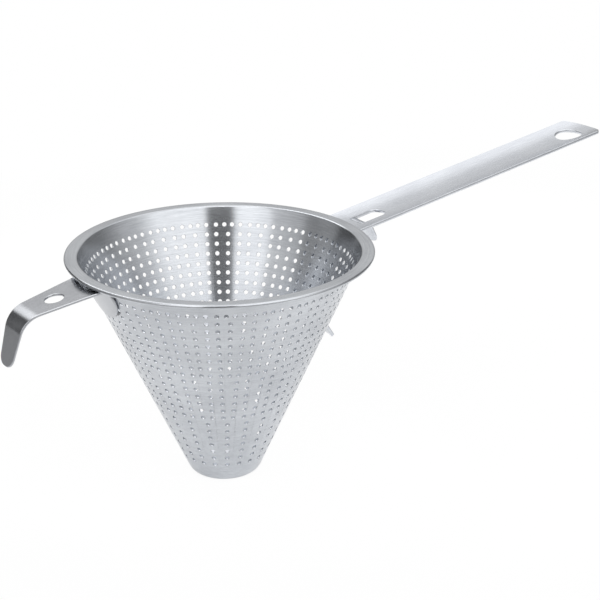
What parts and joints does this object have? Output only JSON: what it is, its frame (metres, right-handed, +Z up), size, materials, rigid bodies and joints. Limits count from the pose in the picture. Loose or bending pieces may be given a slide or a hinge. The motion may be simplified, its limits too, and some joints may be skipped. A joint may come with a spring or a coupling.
{
  "type": "chinois strainer",
  "caption": "Conical perforated steel strainer with a flat rim, a long hollow-faced strap handle with hanging hole and slot, and a bent rest hook opposite.",
  "frame": {"origin": "centre of the bowl's flat bottom, on its underside", "axes": "+Z up along the bowl's axis, towards its mouth; +X out along the handle; the hook is on the -X side"},
  "size_m": [0.4412, 0.18, 0.1621],
  "materials": {
    "bowl_steel": "satin stainless steel, brushed round the bowl",
    "handle_steel": "polished stainless steel, brushed lengthwise",
    "hook_steel": "satin stainless steel, brushed lengthwise",
    "weld_steel": "welded stainless steel, as solidified"
  },
  "bodies": {
    "root": {"strainer_bowl": "bowl_steel", "handle": "handle_steel", "rest_hook": "hook_steel", "handle_spot_welds": "weld_steel", "hook_spot_welds": "weld_steel"}
  },
  "joints": []
}
